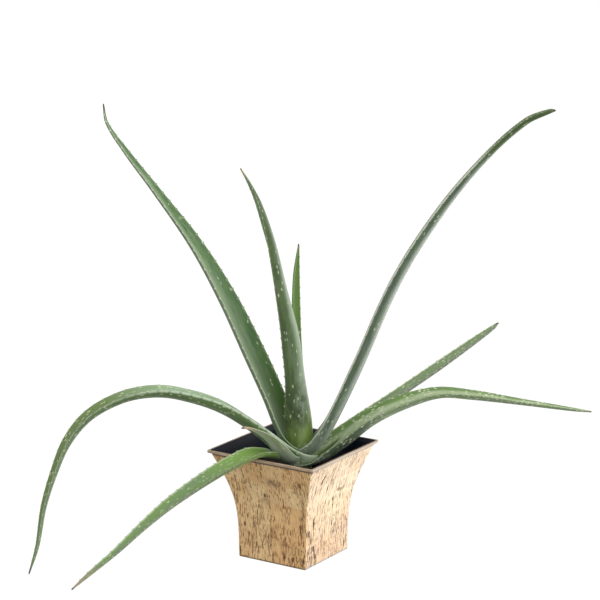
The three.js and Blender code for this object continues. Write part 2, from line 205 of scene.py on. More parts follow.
# %% Floor
FLOOR_HALF = 6.0
floor_mesh = bpy.data.meshes.new("floor")
floor_mesh.from_pydata(
    [(x * FLOOR_HALF, y * FLOOR_HALF, -0.2 * MM) for x, y in ((-1, -1), (1, -1), (1, 1), (-1, 1))],
    [], [(0, 1, 2, 3)])
floor = bpy.data.objects.new("floor", floor_mesh)
scene.collection.objects.link(floor)
floor.visible_diffuse = False
floor.visible_glossy = False
floor.visible_shadow = False
sweep_material, add = new_material("white_sweep_paper")
paper_grain = add("TexNoise", {"Scale": 400.0})
surface = add("BsdfPrincipled", {
    "Base Color": coated(add, "#5c5c5c", [("#606060", paper_grain)]),
    "Roughness": 0.9, "Specular IOR Level": 0.0,
    "Emission Color": (1, 1, 1, 1), "Emission Strength": 0.93,
})
add("OutputMaterial", {"Surface": surface})
floor_mesh.materials.append(sweep_material)

# %% [markdown]
# Most pieces here are tubes: a row of closed rings, one after another. A pot is a tube that runs up the
# outside and down the inside, a lip is a tube that closes on itself, and a leaf is a tube with a
# crescent section. One function joins rings into a mesh. Another gives slow, seeded unevenness, which
# keeps any of them from looking machined.

# %% Mesh helpers
def tube(rings, closed=False):
    """Points and faces of a tube through rings, an array of (ring, point, xyz)."""
    count, per_ring = rings.shape[:2]
    points = rings.reshape(-1, 3)
    r = np.arange(count if closed else count - 1)[:, None]
    i = np.arange(per_ring)[None, :]
    after = (r + 1) % count
    beside = (i + 1) % per_ring
    faces = np.stack([r * per_ring + i, r * per_ring + beside,
                      after * per_ring + beside, after * per_ring + i], axis=-1).reshape(-1, 4).tolist()
    if not closed:
        first, last = len(points), len(points) + 1
        points = np.vstack([points, rings[0].mean(axis=0), rings[-1].mean(axis=0)])
        start = (count - 1) * per_ring
        for k in range(per_ring):
            beyond = (k + 1) % per_ring
            faces.append([first, beyond, k])
            faces.append([last, start + k, start + beyond])
    return points, faces


def add_piece(name, points, faces, material, fields=None):
    """A smooth mesh from points in millimetres. Each field is one value or vector for each point."""
    mesh = bpy.data.meshes.new(name)
    mesh.from_pydata((np.asarray(points) * MM).tolist(), [], faces)
    for field, values in (fields or {}).items():
        values = np.asarray(values, np.float32)
        vector = values.ndim == 2
        attribute = mesh.attributes.new(field, "FLOAT_VECTOR" if vector else "FLOAT", "POINT")
        attribute.data.foreach_set("vector" if vector else "value", values.ravel())
    mesh.shade_smooth()
    mesh.materials.append(material)
    piece = bpy.data.objects.new(name, mesh)
    scene.collection.objects.link(piece)
    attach(piece, BODY)
    print(name, len(mesh.polygons), "faces")
    return piece


def wander(x, y, cell_x, cell_y, seed):
    """Smooth noise from -1 to 1, with one seeded value at each corner of a grid of cells."""
    side = 97
    grid = np.random.default_rng(seed).uniform(-1, 1, (side, side))
    x, y = x / cell_x, y / cell_y
    i, j = np.floor(x).astype(int), np.floor(y).astype(int)
    u, v = x - i, y - j
    u, v = u * u * (3 - 2 * u), v * v * (3 - 2 * v)
    near = grid[i % side, j % side] * (1 - u) + grid[(i + 1) % side, j % side] * u
    far = grid[i % side, (j + 1) % side] * (1 - u) + grid[(i + 1) % side, (j + 1) % side] * u
    return near * (1 - v) + far * v


def smooth_rows(rows, marks, at):
    """Every column of rows at the distances at, on a smooth curve through the marks."""
    rows, marks, at = np.asarray(rows, float), np.asarray(marks, float), np.atleast_1d(at)
    before = np.maximum(np.arange(len(rows)) - 1, 0)
    after = np.minimum(np.arange(len(rows)) + 1, len(rows) - 1)
    slopes = (rows[after] - rows[before]) / (marks[after] - marks[before])[:, None]
    i = np.clip(np.searchsorted(marks, at) - 1, 0, len(rows) - 2)
    span = (marks[i + 1] - marks[i])[:, None]
    t = (at - marks[i])[:, None] / span
    return (rows[i] * (1 + 2 * t) * (1 - t) ** 2 + slopes[i] * span * t * (1 - t) ** 2
            + rows[i + 1] * t * t * (3 - 2 * t) - slopes[i + 1] * span * t * t * (1 - t))


# %% [markdown]
# The pot is light and thin-walled, nearly straight in its lower half, then flaring smoothly to the lip.
# Its profile is a height and half of the square's side. The ring for each height is a square with
# slightly rounded corners, with enough points on each side to carry the relief of the cork.

# %% Pot form
POT_PROFILE = [
    (0, 41.8), (1, 42.3), (22, 42.5), (36, 43), (48, 43.9), (60, 45.3), (74, 48.3),
    (88, 52.4), (102, 57.4), (114, 62.1), (116, 63),
]
CLADDING_TOP = 116
BODY_TOP = 116.7
GROOVE_DEPTH = 1.1
POT_WALL = 2.8
POT_FLOOR = 5
CORNER_RADIUS = 1.6


def pot_half(z):
    heights, halves = np.array(POT_PROFILE).T
    flare = (halves[-1] - halves[-2]) / (heights[-1] - heights[-2])
    below = smooth_rows(halves[:, None], heights, np.clip(z, 0, CLADDING_TOP))[0, 0]
    return below + max(z - CLADDING_TOP, 0) * flare


def square_ring(half, z, per_side, per_corner=6, radius=CORNER_RADIUS):
    """A square of points seen from above, counterclockwise, and how far each one stands along its side."""
    reach = half - radius
    ring, place = [], []
    for corner in range(4):
        turn = corner * math.pi / 2
        cos, sin = round(math.cos(turn)), round(math.sin(turn))
        along = np.linspace(-reach, reach, per_side, endpoint=False)
        arc = np.linspace(0, math.pi / 2, per_corner, endpoint=False)
        x = np.concatenate([np.full(per_side, half), reach + radius * np.cos(arc)])
        y = np.concatenate([along, reach + radius * np.sin(arc)])
        ring.append(np.stack([x * cos - y * sin, x * sin + y * cos, np.full(len(x), float(z))], axis=1))
        place.append(y)
    return np.concatenate(ring), np.concatenate(place)


# %% [markdown]
# The outside is clad in cork veneer: thin sheets cut so that the bark's dark pores and cracks run
# upright, laid in patches whose tone differs a little. The bigger cracks and the unevenness of the
# patches are real relief here, cut into the mesh, and a field on the mesh tells the finish where the
# cracks are. The finest pores are left to the finish, since they are thinner than the mesh.

# %% Cork relief
SIDE_POINTS = 150
RING_RISE = 1.1
SIDE_SPAN = 200
PATCH = 25.0
CRACK_DEPTH = 0.5
PATCH_DEPTH = 0.16
RIDGE_DEPTH = 0.12
EDGE_FADE = 1.2

outer_heights = np.concatenate([
    [0, 0.4], np.arange(1, CLADDING_TOP - 0.8, RING_RISE), [CLADDING_TOP - 0.5, CLADDING_TOP]])
rings, places = map(np.array, zip(*[square_ring(pot_half(z), z, SIDE_POINTS) for z in outer_heights]))
per_ring = rings.shape[1]
side_of_point = np.repeat(np.arange(4), per_ring // 4)[None, :]
cork_x = places + SIDE_SPAN * (side_of_point + 0.5)
cork_y = np.repeat(outer_heights[:, None], per_ring, axis=1)
sway = 0.5 * wander(cork_x, cork_y, 9, 19, 11)
crowding = 0.72 + 0.3 * wander(cork_x, cork_y, 19, 23, 13) + 0.12 * (cork_y < 42)
cracks = wander(cork_x + sway, cork_y, 1.5, 9.5, 12) * crowding
cracks = np.clip((cracks - 0.5) / 0.2, 0, 1)
ridges = wander(cork_x + sway, cork_y, 1.3, 16, 14)
patches = wander(cork_x, cork_y, PATCH, PATCH * 0.8, 15)
relief = RIDGE_DEPTH * ridges + PATCH_DEPTH * patches - CRACK_DEPTH * cracks
at_edge = np.clip(np.minimum(cork_y, CLADDING_TOP - cork_y) / EDGE_FADE, 0, 1)
outward = rings.copy()
outward[:, :, 2] = 0
square = np.abs(outward[:, :, :2]).max(axis=2, keepdims=True)
outward = np.where(np.abs(outward) > square - 1.0, np.sign(outward), 0)
outward /= np.maximum(np.linalg.norm(outward, axis=2, keepdims=True), 1e-9)
rings = rings + outward * (relief * at_edge)[:, :, None]
print("points on the cladding:", cork_x.size, "cracked share:", round(float((cracks > 0.5).mean()), 3))

# %% [markdown]
# Here and there the old bark was never planed off, which leaves a soft dark smudge. A row is a smudge:
# its side of the pot, its place along that side, its height, half its width, half its height, and how
# dark it is.

# %% Old bark stains
STAINS = [
    (3, 10, 93, 13, 5, 1.1), (3, -4, 70, 6, 4, 1.0), (3, -28, 84, 3, 11, 0.45), (3, -33, 24, 6, 10, 0.5),
    (3, 40, 56, 2.2, 3, 1.2), (3, 43, 72, 2.6, 34, 0.8), (3, 30, 20, 6, 6, 0.35), (3, -10, 33, 9, 5, 0.3),
    (0, -16, 60, 4, 12, 0.3), (0, 8, 30, 8, 5, 0.3), (1, -12, 78, 12, 6, 0.6), (1, 20, 40, 5, 14, 0.5),
    (2, 15, 88, 9, 6, 0.6), (2, -24, 50, 6, 12, 0.5),
]
stain = np.zeros_like(cork_x)
for side, at_place, at_height, half_wide, half_tall, depth in STAINS:
    away = ((places - at_place) / half_wide) ** 2 + ((cork_y - at_height) / half_tall) ** 2
    stain += np.where(side_of_point == side, depth * np.exp(-away), 0)
stain *= 0.75 + 0.6 * wander(cork_x, cork_y, 3.1, 4.3, 16)

# %% Pot body: up the outside, over the neck under the lip, and down the inside
GROOVE_RINGS = 3
inner = [(CLADDING_TOP, GROOVE_DEPTH), (BODY_TOP, GROOVE_DEPTH)]
inner += [(z, POT_WALL) for z in (BODY_TOP, 102, 88, 74, 60, 48, 36, POT_FLOOR)]
inner_rings = [square_ring(pot_half(z) - inset, z, SIDE_POINTS)[0] for z, inset in inner]
body_rings = np.concatenate([rings, np.array(inner_rings)])
in_groove = np.zeros((len(inner), per_ring))
in_groove[:GROOVE_RINGS] = 1
along_side = np.concatenate([places, places[:1].repeat(len(inner), 0)]).ravel()
cork_place = np.stack([
    np.concatenate([cork_x, cork_x[:1].repeat(len(inner), 0)]).ravel(),
    body_rings[:, :, 2].ravel(),
    along_side / np.repeat([pot_half(z) for z in body_rings[:, 0, 2]], per_ring),
], axis=1)

# %% [markdown]
# Cork veneer is matt bark under a thin satin varnish. Its colour is a golden tan, browner where the bark
# is old, and its pores are dark brown. The finish works in millimetres along the side and up the pot.
# Upright pores come from cells that are taller than wide: each cell may hold one short upright dash,
# and slow noise crowds them together in some places, low down and near the corners. A real pore is
# about 0.4 mm wide, and it is drawn at about 0.7 mm so that it shows.

# %% Places on the cork, and where its pores crowd
cork, add = new_material("varnished_cork_veneer")
place = add("Attribute", out="Vector", attribute_name="cork_place")
crack, stained = [add("Attribute", out="Fac", attribute_name=name) for name in ("cork_crack", "cork_stain")]
height, corner_share = [add("SeparateXYZ", [place], axis) for axis in "YZ"]
slow_place = add("VectorMath", [place, (1 / 13, 1 / 21, 0)], operation="MULTIPLY")
slow = add("TexNoise", {"Vector": slow_place, "Scale": 1.0, "Detail": 2.0}, "Color")
slow_x = add("SeparateXYZ", [slow], "X")
sway_by = add("VectorMath", [slow, (0.5, 0.5, 0.5)], operation="SUBTRACT")
sway_by = add("VectorMath", [sway_by, (2.2, 2.0, 0.0)], operation="MULTIPLY")
swayed = add("VectorMath", [place, sway_by], operation="ADD")
sheet = add("VectorMath", [place, (PATCH, PATCH * 0.9, 1000)], operation="SNAP")
patch_tone = add("TexWhiteNoise", {"Vector": sheet}, "Color", noise_dimensions="3D")
patch_red, patch_light, patch_crowd = [add("SeparateXYZ", [patch_tone], axis) for axis in "XYZ"]
near_corner = add("Math", [corner_share], operation="ABSOLUTE")
crowd = add("Math", [patch_crowd, 0.2, (slow_x, 0.4, 0.64, 0, 0.46)], operation="MULTIPLY_ADD")
for more in ((height, 52, 30, 0, 0.28), (near_corner, 0.8, 0.95, 0, 0.16)):
    crowd = add("Math", [crowd, more], operation="ADD")


# %% Pores
CORE = (1.0, 0.3)
HALO = (2.0, 0.6)
PORE_END = 0.9


def pores(cell_wide, cell_tall, half_width, half_length, share):
    """Upright dashes, one in a share of the cells: a mask of each core, and one of the bark round it."""
    cells = add("VectorMath", [swayed, (1 / cell_wide, 1 / cell_tall, 0)], operation="MULTIPLY")
    found, chance = [add("TexVoronoi", {"Vector": cells, "Scale": 1.0}, part, voronoi_dimensions="2D")
                     for part in ("Position", "Color")]
    away = add("VectorMath", [cells, found], operation="SUBTRACT")
    away = add("VectorMath", [away, (cell_wide, cell_tall, 0)], operation="MULTIPLY")
    away = add("VectorMath", [away], operation="ABSOLUTE")
    beside, above = [add("SeparateXYZ", [away], axis) for axis in "XY"]
    draw, reach = [add("SeparateXYZ", [chance], axis) for axis in "XY"]
    reach = add("Math", [reach, half_length, half_length * 0.3], operation="MULTIPLY_ADD")
    short = add("Math", [reach, above], operation="SUBTRACT")
    drawn = add("Math", [draw, share], operation="LESS_THAN")
    short = add("Math", [(short, 0, PORE_END, 0, 1), drawn], operation="MULTIPLY")
    return [add("Math", [(beside, half_width * rim, half_width * full, 0, 1), short],
                operation="MULTIPLY") for rim, full in (CORE, HALO)]


fine_pores, fine_bark = pores(1.2, 6.5, 0.34, 3.2, crowd)
bold_share = add("Math", [crowd, 0.5], operation="MULTIPLY")
bold_pores, bold_bark = pores(2.7, 12.0, 0.55, 5.5, bold_share)

# %% [markdown]
# The colour is laid on in coats: grain over a tan ground, the tone of each patch, old bark, the browner
# foot, a darker band at the lower edge and painted shadow under the lip at the upper one, and last the
# pores with brown bark round them.
# The varnish is left off in the pores, which look dull.

# %% Cork veneer finish
noises = []
for where, wide, tall, detail, roughness in (
        (swayed, 1.1, 12, 4, 0.65), (place, 1.6, 2.3, 3, 0.7), (place, 8, 8, 5, 0.7)):
    cells = add("VectorMath", [where, (1 / wide, 1 / tall, 0)], operation="MULTIPLY")
    noises.append(add("TexNoise", {
        "Vector": cells, "Scale": 1.0, "Detail": detail, "Roughness": roughness}))
grain, speck, clouds = noises
old_bark = add("Math", [(clouds, 0.52, 0.74, 0, 0.55), stained], operation="MAXIMUM")
old_bark = add("Math", [old_bark, (speck, 0.3, 0.62, 0.25, 1)], operation="MULTIPLY", use_clamp=True)
# painted shadow: a dark band at the top of the cladding, under the lip; and a darker band along the foot
dark_foot_band, lip_shadow = (height, 2.2, 1, 0, 0.8), (height, 113.9, 114.5, 0, 0.9)
lip_shadow_and_dark_foot = add("Math", [dark_foot_band, lip_shadow], operation="MAXIMUM")
brown = add("Math", [fine_bark, bold_bark], operation="MAXIMUM")
dark = add("Math", [fine_pores, bold_pores], operation="MAXIMUM")
dark = add("Math", [dark, crack], operation="MAXIMUM")
colour = coated(add, "#bd884c", [
    ("#f0d091", (grain, 0.34, 0.6, 0, 1)),
    ("#d79f63", (patch_red, 0, 1, 0, 0.45)),
    ("#f2dcab", (patch_light, 0.4, 1, 0, 0.45)),
    ("#66401a", old_bark),
    ("#be8448", (height, 62, 22, 0, 0.28)),
    # painted shadow under the lip, and the darker band along the foot
    ("#4a3a28", lip_shadow_and_dark_foot),
    ("#a8692c", (brown, 0, 1, 0, 0.45)),
    ("#55300f", (dark, 0, 1, 0, 0.95)),
])
hollow = add("Math", [dark, -1.2, grain], operation="MULTIPLY_ADD")
surfaced(add, colour, {
    "Roughness": 0.6, "IOR": 1.5,
    "Coat Weight": (dark, 0, 1, 1, 0.1), "Coat Roughness": 0.3, "Coat IOR": 1.5,
}, relief=hollow, strength=0.45, depth=0.4)

# %% Place the pot body
points, faces = tube(body_rings)
ends = np.zeros((2, 3))
pot_body = add_piece("cork_clad_pot", points, faces, cork, {
    "cork_place": np.vstack([cork_place, ends]),
    "cork_crack": np.concatenate([cracks.ravel(), in_groove.ravel(), [0, 0]]),
    "cork_stain": np.concatenate([stain.ravel(), in_groove.ravel(), [0, 0]]),
})
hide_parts("pot_body")

# %% [markdown]
# The lip is a plain thin band with rounded edges, moulded and painted a warm greyish tan with a satin
# face. Its inner face leans outwards. It stands on the pot's neck, so a thin dark gap shows under it.
# A section of straight pieces and rounded corners is swept round the square.

# %% Lip section
LIP_HALF = 66
LIP_FOOT = 117
LIP_TOP = 120
LIP_FOOT_WIDTH = 4.7
LIP_TOP_WIDTH = 1.7


def rounded(corners, radius, steps=6):
    """A closed section of (half, height) corners, each cut back by radius and rounded."""
    section = []
    for before, corner, after in zip(corners[-1:] + corners, corners, corners[1:] + corners[:1]):
        before, corner, after = np.array(before), np.array(corner), np.array(after)
        start = corner + (before - corner) / np.linalg.norm(before - corner) * radius
        end = corner + (after - corner) / np.linalg.norm(after - corner) * radius
        for t in np.linspace(0, 1, steps):
            section.append(start * (1 - t) ** 2 + 2 * corner * t * (1 - t) + end * t ** 2)
    return section


# %% Lip
LIP_SIDE_POINTS = 48
LIP_ROUNDING = 0.55
LIP_DROOP = 0.1
NOISE_SHIFT = 90

lip_section = rounded([
    (LIP_HALF, LIP_FOOT), (LIP_HALF, LIP_TOP), (LIP_HALF - LIP_TOP_WIDTH, LIP_TOP),
    (LIP_HALF - LIP_FOOT_WIDTH, LIP_FOOT)], LIP_ROUNDING)
lip_rings = []
for half, z in lip_section:
    ring, _ = square_ring(half, z, LIP_SIDE_POINTS)
    ring[:, 2] += LIP_DROOP * (wander(*(ring[:, :2] + NOISE_SHIFT).T, 31, 31, 21) - 1)
    lip_rings.append(ring)
points, faces = tube(np.array(lip_rings), closed=True)

# %% Lip finish
satin, add = new_material("satin_painted_moulding")
position = add("TexCoord", out="Object")
speckle = add("TexNoise", {"Vector": position, "Scale": 900.0, "Detail": 3.0})
streak_place = add("VectorMath", [position, (70, 70, 900)], operation="MULTIPLY")
streak = add("TexNoise", {"Vector": streak_place, "Scale": 1.0, "Detail": 3.0})
rubbed = add("NewGeometry", out="Pointiness")
colour = coated(add, "#907a62", [
    ("#b59d80", (streak, 0.35, 0.65, 0, 1)), ("#d2c2ab", (rubbed, 0.52, 0.6, 0, 0.5))])
surfaced(add, colour, {"Roughness": 0.42, "IOR": 1.5, "Coat Weight": 0.5, "Coat Roughness": 0.3},
         relief=speckle, strength=0.25, depth=0.08)
pot_lip = add_piece("pot_lip", points, faces, satin)
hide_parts("pot_rim")

# %% [markdown]
# The liner is a dark inner cup of smooth moulded plastic. It shows as the blue-black wall inside the
# mouth. It is a thin tube that runs up its outside, flares along the lip's leaning inner face almost to
# the top, and comes down its inside, just clear of the pot's wall.

# %% Liner
CLEARANCE = 0.3
LINER_INSET = POT_WALL + CLEARANCE
LINER_WALL = 1.3
LINER_FOOT = POT_FLOOR + CLEARANCE
LINER_FLOOR = LINER_FOOT + 1.6
LINER_TOP = LIP_TOP - 0.05
FLARE_INSET = 0.45
LINER_SIDE_POINTS = 30

flare_foot = LIP_HALF - LIP_FOOT_WIDTH - FLARE_INSET
flare_top = LIP_HALF - LIP_TOP_WIDTH - FLARE_INSET
wall_heights = np.arange(12, BODY_TOP, 3)
liner_section = [(pot_half(z) - LINER_INSET, z) for z in (LINER_FOOT, *wall_heights, BODY_TOP)]
liner_section += [
    (liner_section[-1][0], LIP_FOOT), (flare_foot, LIP_FOOT + 0.05), (flare_top - 0.25, LINER_TOP - 0.2),
    (flare_top - 0.3, LINER_TOP - 0.05), (flare_top - 0.5, LINER_TOP),
    (flare_top - LINER_WALL + 0.2, LINER_TOP), (flare_top - LINER_WALL, LINER_TOP - 0.2),
    (flare_foot - LINER_WALL, LIP_FOOT + 0.3)]
liner_section += [(pot_half(z) - LINER_INSET - LINER_WALL, z)
                  for z in (BODY_TOP, *wall_heights[::-1], LINER_FLOOR)]
points, faces = tube(np.array([square_ring(half, z, LINER_SIDE_POINTS)[0] for half, z in liner_section]))

# %% Liner finish
plastic, add = new_material("dark_moulded_plastic")
position = add("TexCoord", out="Object")
mottle = add("TexNoise", {"Vector": position, "Scale": 120.0, "Detail": 5.0})
dust = add("TexNoise", {"Vector": position, "Scale": 900.0, "Detail": 2.0})
colour = coated(add, "#0c1322", [("#151c2d", mottle), ("#2c3036", (dust, 0.62, 0.85, 0, 0.2))])
surfaced(add, colour, {"Roughness": 0.5, "IOR": 1.49, "Specular IOR Level": 0.22},
         relief=mottle, strength=0.2, depth=0.2)
pot_liner = add_piece("pot_liner_cup", points, faces, plastic)
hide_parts("pot_liner")

# %% [markdown]
# Potting soil is a mix of fine dark peat, crumbs of bark and a few white grains of perlite. The photo
# hides it below the lip, and any view from above shows it. The surface is a low mound round the stem
# with slow lumps, roughened point by point, and some hundreds of loose crumbs lie on it, half sunk in.

# %% Soil surface
SOIL_TOP = 93
SOIL_MOUND = 3.5
SOIL_MOUND_RADIUS = 34
SOIL_WAVES = [
    (0.37, 0.31, 0.9, 0.33), (0.37, -0.31, 1.7, 0.33), (0.83, -0.71, 0, 0.45), (1.37, 1.13, 1.6, 0.33)]
SOIL_INSET = LINER_INSET + LINER_WALL + CLEARANCE
SOIL_FOOT = LINER_FLOOR + CLEARANCE
SOIL_SIDE_POINTS = 60
STEM_HOLE = 11.8
STEM_FOOT = 60


def soil_height(x, y):
    mound = SOIL_MOUND * np.exp(-((x - AXIS_X) ** 2 + (y - AXIS_Y) ** 2) / SOIL_MOUND_RADIUS ** 2)
    lumps = sum(size * np.sin(a * x + b * y + phase) for a, b, phase, size in SOIL_WAVES)
    x, y = x + NOISE_SHIFT, y + NOISE_SHIFT
    crumbs = 0.7 * wander(x, y, 1.7, 1.7, 31) + 0.45 * wander(x, y, 0.9, 0.9, 32)
    return SOIL_TOP + mound + lumps + crumbs


soil_rings = [square_ring(pot_half(z) - SOIL_INSET, z, SOIL_SIDE_POINTS)[0]
              for z in (SOIL_FOOT, 22, 36, 48, 60, 74, 86)]
edge, _ = square_ring(pot_half(SOIL_TOP) - SOIL_INSET, SOIL_TOP, SOIL_SIDE_POINTS)
hole = edge.copy()
angle = np.arctan2(edge[:, 1] - AXIS_Y, edge[:, 0] - AXIS_X)
hole[:, 0] = AXIS_X + STEM_HOLE * np.cos(angle)
hole[:, 1] = AXIS_Y + STEM_HOLE * np.sin(angle)
for share in np.linspace(0, 1, 60):
    ring = edge * (1 - share) + hole * share
    ring[:, 2] = soil_height(ring[:, 0], ring[:, 1])
    soil_rings.append(ring)
hole_foot = hole.copy()
hole_foot[:, 2] = STEM_FOOT - CLEARANCE
soil_rings.append(hole_foot)
points, faces = tube(np.array(soil_rings))
tints = np.zeros(len(points))

# %% Crumbs of bark and perlite
CRUMBS = 620
PERLITE_SHARE = 0.04
CRUMB_ROOM = 2.5
dice = np.random.default_rng(33)
ball = bmesh.new()
bmesh.ops.create_icosphere(ball, subdivisions=1, radius=1)
ball_points = np.array([v.co for v in ball.verts])
ball_faces = np.array([[v.index for v in f.verts] for f in ball.faces])
ball.free()
soil_half = pot_half(SOIL_TOP) - SOIL_INSET - CRUMB_ROOM
all_points, all_tints = [points], [tints]
for _ in range(CRUMBS):
    x, y = dice.uniform(-soil_half, soil_half, 2)
    perlite = dice.random() < PERLITE_SHARE
    size = dice.uniform(0.7, 1.3) if perlite else dice.uniform(0.5, 1.9)
    stretch = dice.uniform(0.6, 1.3, 3)
    turn = Matrix.Rotation(dice.uniform(0, math.pi), 3, Vector(dice.normal(size=3)).normalized())
    tint = 1.0 if perlite else dice.uniform(0.1, 0.6)
    if math.hypot(x - AXIS_X, y - AXIS_Y) < STEM_HOLE + CRUMB_ROOM:
        continue
    dents = 1 + 0.25 * dice.uniform(-1, 1, (len(ball_points), 1))
    crumb = (ball_points * dents * stretch * size) @ np.array(turn).T
    crumb += [x, y, soil_height(np.array([x]), np.array([y]))[0] + 0.25 * size]
    faces += (ball_faces + sum(map(len, all_points))).tolist()
    all_points.append(crumb)
    all_tints.append(np.full(len(crumb), tint))
points, tints = np.vstack(all_points), np.concatenate(all_tints)

# %% Moist potting mix finish
peat, add = new_material("moist_potting_mix")
position = add("TexCoord", out="Object")
tint = add("Attribute", out="Fac", attribute_name="crumb_tint")
grit = add("TexNoise", {"Vector": position, "Scale": 700.0, "Detail": 5.0, "Roughness": 0.7})
colour = coated(add, "#130e0b", [
    ("#33271d", grit), ("#4f3a28", (tint, 0.05, 0.7, 0, 1)), ("#a39f94", (tint, 0.8, 0.95, 0, 1))])
surfaced(add, colour, {"Roughness": 0.92, "IOR": 1.4}, relief=grit, strength=0.7, depth=0.5)
soil = add_piece("potting_soil", points, faces, peat, {"crumb_tint": tints})
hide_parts("soil")

# %% [markdown]
# The stem is the short pale stump that every leaf wraps. Almost nothing of it shows. It is a plain
# turned form, slightly ringed where old leaves have come away.

# %% Stem
STEM_PROFILE = [(60, 10), (62, 11.5), (96, 11.5), (102, 11), (109, 8), (112, 4)]
OLD_LEAF_RIDGE = 0.15

stem_z, stem_radius = np.array(STEM_PROFILE).T
stem_heights = np.linspace(stem_z[0], stem_z[-1], 60)
radii = smooth_rows(stem_radius[:, None], stem_z, stem_heights)
radii = radii + OLD_LEAF_RIDGE * np.sin(stem_heights * 1.6)[:, None]
turns = np.linspace(0, 2 * math.pi, 48, endpoint=False)
stem_rings = np.stack([
    AXIS_X + radii * np.cos(turns), AXIS_Y + radii * np.sin(turns),
    np.repeat(stem_heights[:, None], len(turns), axis=1)], axis=2)
points, faces = tube(stem_rings)

stump, add = new_material("pale_woody_stem")
position = add("TexCoord", out="Object")
bands = add("VectorMath", [position, (90, 90, 500)], operation="MULTIPLY")
bands = add("TexNoise", {"Vector": bands, "Scale": 1.0, "Detail": 4.0})
colour = coated(add, "#7c8452", [("#b3b283", bands)])
surfaced(add, colour, {"Roughness": 0.6, "IOR": 1.45}, relief=bands, strength=0.4, depth=0.3)
stem = add_piece("leaf_stem", points, faces, stump)
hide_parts("stem")

# %% [markdown]
# An aloe leaf is a thick, water-filled blade. It wraps the stem at its base, it is hollow on its inner
# face and rounded underneath, and it tapers to a dry point. Each leaf rises in an upright plane at its
# own azimuth round the stem. One that is rolled about its length states the roll at both its ends, in
# degrees, and one with small teeth states their size. A row gives a leaf's reach from the axis,
# its height, its width, its depth and how hollow its inner face is, all in millimetres. A smooth curve
# through the rows gives the rest.

